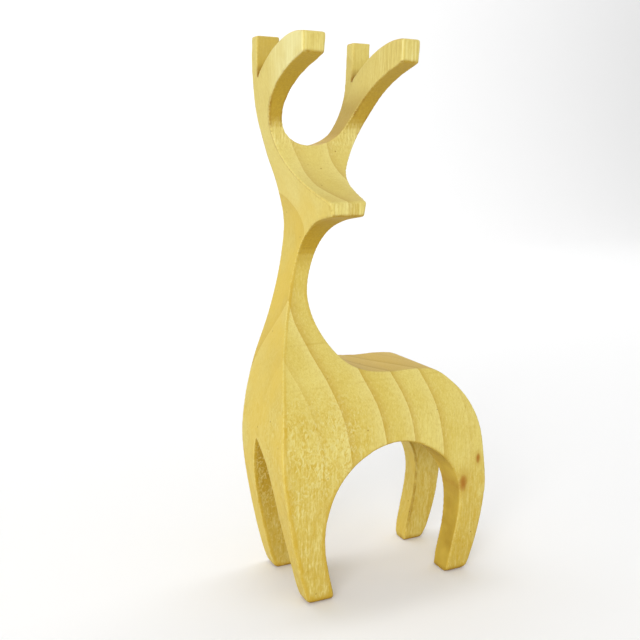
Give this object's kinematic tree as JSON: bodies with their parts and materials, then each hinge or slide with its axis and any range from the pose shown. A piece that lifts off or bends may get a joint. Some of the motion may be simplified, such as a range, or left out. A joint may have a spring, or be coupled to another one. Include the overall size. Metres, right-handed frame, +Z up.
{
  "type": "carved wooden deer figure",
  "caption": "Stylised standing deer with its head turned to one side, sawn from one block of pale wood in two directions, with forked antlers and straight sawn legs.",
  "frame": {"origin": "centre of the bounding box, on the plane of the four soles", "axes": "+X along the body from the chest to the rump, +Y across the body away from the muzzle, +Z up"},
  "size_m": [0.128, 0.0668, 0.3],
  "materials": {
    "pale_wood": "sanded bare timber with a low wax sheen, grain upright, broad growth rings"
  },
  "bodies": {
    "root": {"trunk": "pale_wood", "neck": "pale_wood", "head": "pale_wood", "antler_right_front_tine": "pale_wood", "antler_right_back_tine": "pale_wood", "antler_left_front_tine": "pale_wood", "antler_left_back_tine": "pale_wood", "leg_front_left": "pale_wood", "leg_front_right": "pale_wood", "leg_hind_left": "pale_wood", "leg_hind_right": "pale_wood"}
  },
  "joints": []
}
